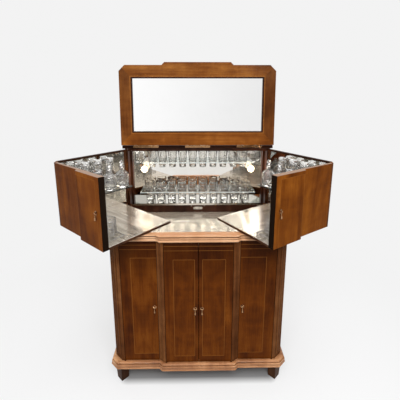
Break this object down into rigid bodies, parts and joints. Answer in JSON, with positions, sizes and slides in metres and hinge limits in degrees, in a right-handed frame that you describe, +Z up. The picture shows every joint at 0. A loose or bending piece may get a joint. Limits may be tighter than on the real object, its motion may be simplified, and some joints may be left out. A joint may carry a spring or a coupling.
{
  "type": "bar cabinet",
  "caption": "Free-standing walnut bar cabinet with a canted, breakfront cupboard, a mirrored well, two bar units that swing out on long hinges and a mirrored lid that folds up.",
  "frame": {"origin": "on the floor, at the bottom centre of the box round the cabinet as it stands open", "axes": "+Z up, -Y towards the person standing at the doors, +X to that person's right"},
  "size_m": [1.3726, 0.7286, 1.7075],
  "materials": {
    "walnut_base": "satin french polish",
    "inside_wood": "clear lacquer",
    "walnut_case": "satin french polish",
    "back_ply": "sealed plywood",
    "walnut_counter": "satin french polish",
    "well_mirror": "silvered glass",
    "dark_walnut": "satin french polish",
    "ledge_mirror": "silvered glass",
    "back_mirror": "silvered glass",
    "shelf_glass": "polished edges",
    "row_glass": "clear",
    "nickel": "polished nickel",
    "lit_bulb": "opal, lit",
    "walnut_door": "book-matched veneer, satin french polish",
    "brass": "polished, lightly aged",
    "walnut_unit_side": "satin french polish",
    "dark_walnut_post": "satin french polish",
    "walnut_unit_front": "veneer, satin french polish",
    "deck_board": "satin",
    "unit_mirror": "silvered glass",
    "rack_chrome": "polished",
    "cut_glass": "cut and clear",
    "walnut_lid": "satin french polish",
    "lid_mirror": "aged silvered glass",
    "lid_bead": "polished"
  },
  "bodies": {
    "cabinet": {"feet": "walnut_base", "base_moulding": "walnut_base", "cupboard_floor": "inside_wood", "cupboard_sides": "walnut_case", "corner_posts": "walnut_case", "pilasters": "walnut_case", "bay_dividers": "inside_wood", "cupboard_shelves": "inside_wood", "back_panels": "back_ply", "counter_frame": "walnut_counter", "well_floor": "inside_wood", "well_mirror": "well_mirror", "well_back_rail": "dark_walnut", "glass_ledge": "ledge_mirror", "back_cheeks": "dark_walnut", "mirror_surround": "dark_walnut", "back_mirror": "back_mirror", "top_board": "walnut_case", "glass_shelves": "shelf_glass", "back_row_glasses": "row_glass", "shelf_brackets": "nickel", "lamp_bulbs": "lit_bulb", "lamp_holders": "nickel", "fixed_hinge_leaves": "brass"},
    "left_unit": {"left_unit_side": "walnut_unit_side", "left_unit_post": "dark_walnut_post", "left_unit_front": "walnut_unit_front", "left_unit_deck": "deck_board", "left_unit_mirrors": "unit_mirror", "left_unit_shelf": "shelf_glass", "left_unit_rack": "rack_chrome", "left_unit_glassware": "cut_glass", "left_unit_brasses": "brass"},
    "right_unit": {"right_unit_side": "walnut_unit_side", "right_unit_post": "dark_walnut_post", "right_unit_front": "walnut_unit_front", "right_unit_deck": "deck_board", "right_unit_mirrors": "unit_mirror", "right_unit_shelf": "shelf_glass", "right_unit_rack": "rack_chrome", "right_unit_glassware": "cut_glass", "right_unit_brasses": "brass"},
    "lid": {"lid_board": "walnut_lid", "lid_mirror": "lid_mirror", "lid_bead": "lid_bead", "lid_hinge_leaves": "brass"},
    "left_side_door": {"left_side_door": "walnut_door", "left_side_door_brasses": "brass"},
    "left_middle_door": {"left_middle_door": "walnut_door", "left_middle_door_brasses": "brass"},
    "right_middle_door": {"right_middle_door": "walnut_door", "right_middle_door_brasses": "brass"},
    "right_side_door": {"right_side_door": "walnut_door", "right_side_door_brasses": "brass"},
    "left_side_door_pull": {"left_side_door_pull": "brass"},
    "left_middle_door_pull": {"left_middle_door_pull": "brass"},
    "right_middle_door_pull": {"right_middle_door_pull": "brass"},
    "right_side_door_pull": {"right_side_door_pull": "brass"},
    "left_unit_pull": {"left_unit_pull": "brass"},
    "right_unit_pull": {"right_unit_pull": "brass"}
  },
  "joints": [
    {"name": "left_unit_swing", "type": "hinge", "parent": "cabinet", "child": "left_unit", "pos_m": [-0.41597, 0.26554, 1.0405], "axis": [0, 0, 1], "range_deg": [-48.8, 41.2]},
    {"name": "right_unit_swing", "type": "hinge", "parent": "cabinet", "child": "right_unit", "pos_m": [0.46223, 0.26554, 1.0405], "axis": [0, 0, -1], "range_deg": [-56.8, 33.2]},
    {"name": "lid_fold", "type": "hinge", "parent": "cabinet", "child": "lid", "pos_m": [0.02313, 0.27353, 1.2291], "axis": [1, 0, 0], "range_deg": [0, 93.5]},
    {"name": "left_side_door_hinge", "type": "hinge", "parent": "cabinet", "child": "left_side_door", "pos_m": [-0.36957, -0.17556, 0.4865], "axis": [0, 0, -1], "range_deg": [0, 105]},
    {"name": "left_side_door_pull_pivot", "type": "hinge", "parent": "left_side_door", "child": "left_side_door_pull", "pos_m": [-0.20287, -0.17897, 0.462], "axis": [-1, 0, 0], "range_deg": [0, 80]},
    {"name": "left_middle_door_hinge", "type": "hinge", "parent": "cabinet", "child": "left_middle_door", "pos_m": [-0.14957, -0.19157, 0.4865], "axis": [0, 0, -1], "range_deg": [0, 105]},
    {"name": "left_middle_door_pull_pivot", "type": "hinge", "parent": "left_middle_door", "child": "left_middle_door_pull", "pos_m": [0.00563, -0.19496, 0.462], "axis": [-1, 0, 0], "range_deg": [0, 80]},
    {"name": "right_middle_door_hinge", "type": "hinge", "parent": "cabinet", "child": "right_middle_door", "pos_m": [0.19583, -0.19157, 0.4865], "axis": [0, 0, 1], "range_deg": [0, 105]},
    {"name": "right_middle_door_pull_pivot", "type": "hinge", "parent": "right_middle_door", "child": "right_middle_door_pull", "pos_m": [0.04063, -0.19496, 0.462], "axis": [-1, 0, 0], "range_deg": [0, 80]},
    {"name": "right_side_door_hinge", "type": "hinge", "parent": "cabinet", "child": "right_side_door", "pos_m": [0.41583, -0.17556, 0.4865], "axis": [0, 0, 1], "range_deg": [0, 105]},
    {"name": "right_side_door_pull_pivot", "type": "hinge", "parent": "right_side_door", "child": "right_side_door_pull", "pos_m": [0.24913, -0.17897, 0.462], "axis": [-1, 0, 0], "range_deg": [0, 80]},
    {"name": "left_unit_pull_pivot", "type": "hinge", "parent": "left_unit", "child": "left_unit_pull", "pos_m": [-0.41487, -0.34746, 1.046], "axis": [-0.7524, 0.6587, 0], "range_deg": [0, 80]},
    {"name": "right_unit_pull_pivot", "type": "hinge", "parent": "right_unit", "child": "right_unit_pull", "pos_m": [0.37583, -0.34134, 1.046], "axis": [-0.8368, -0.5476, 0], "range_deg": [0, 80]}
  ]
}
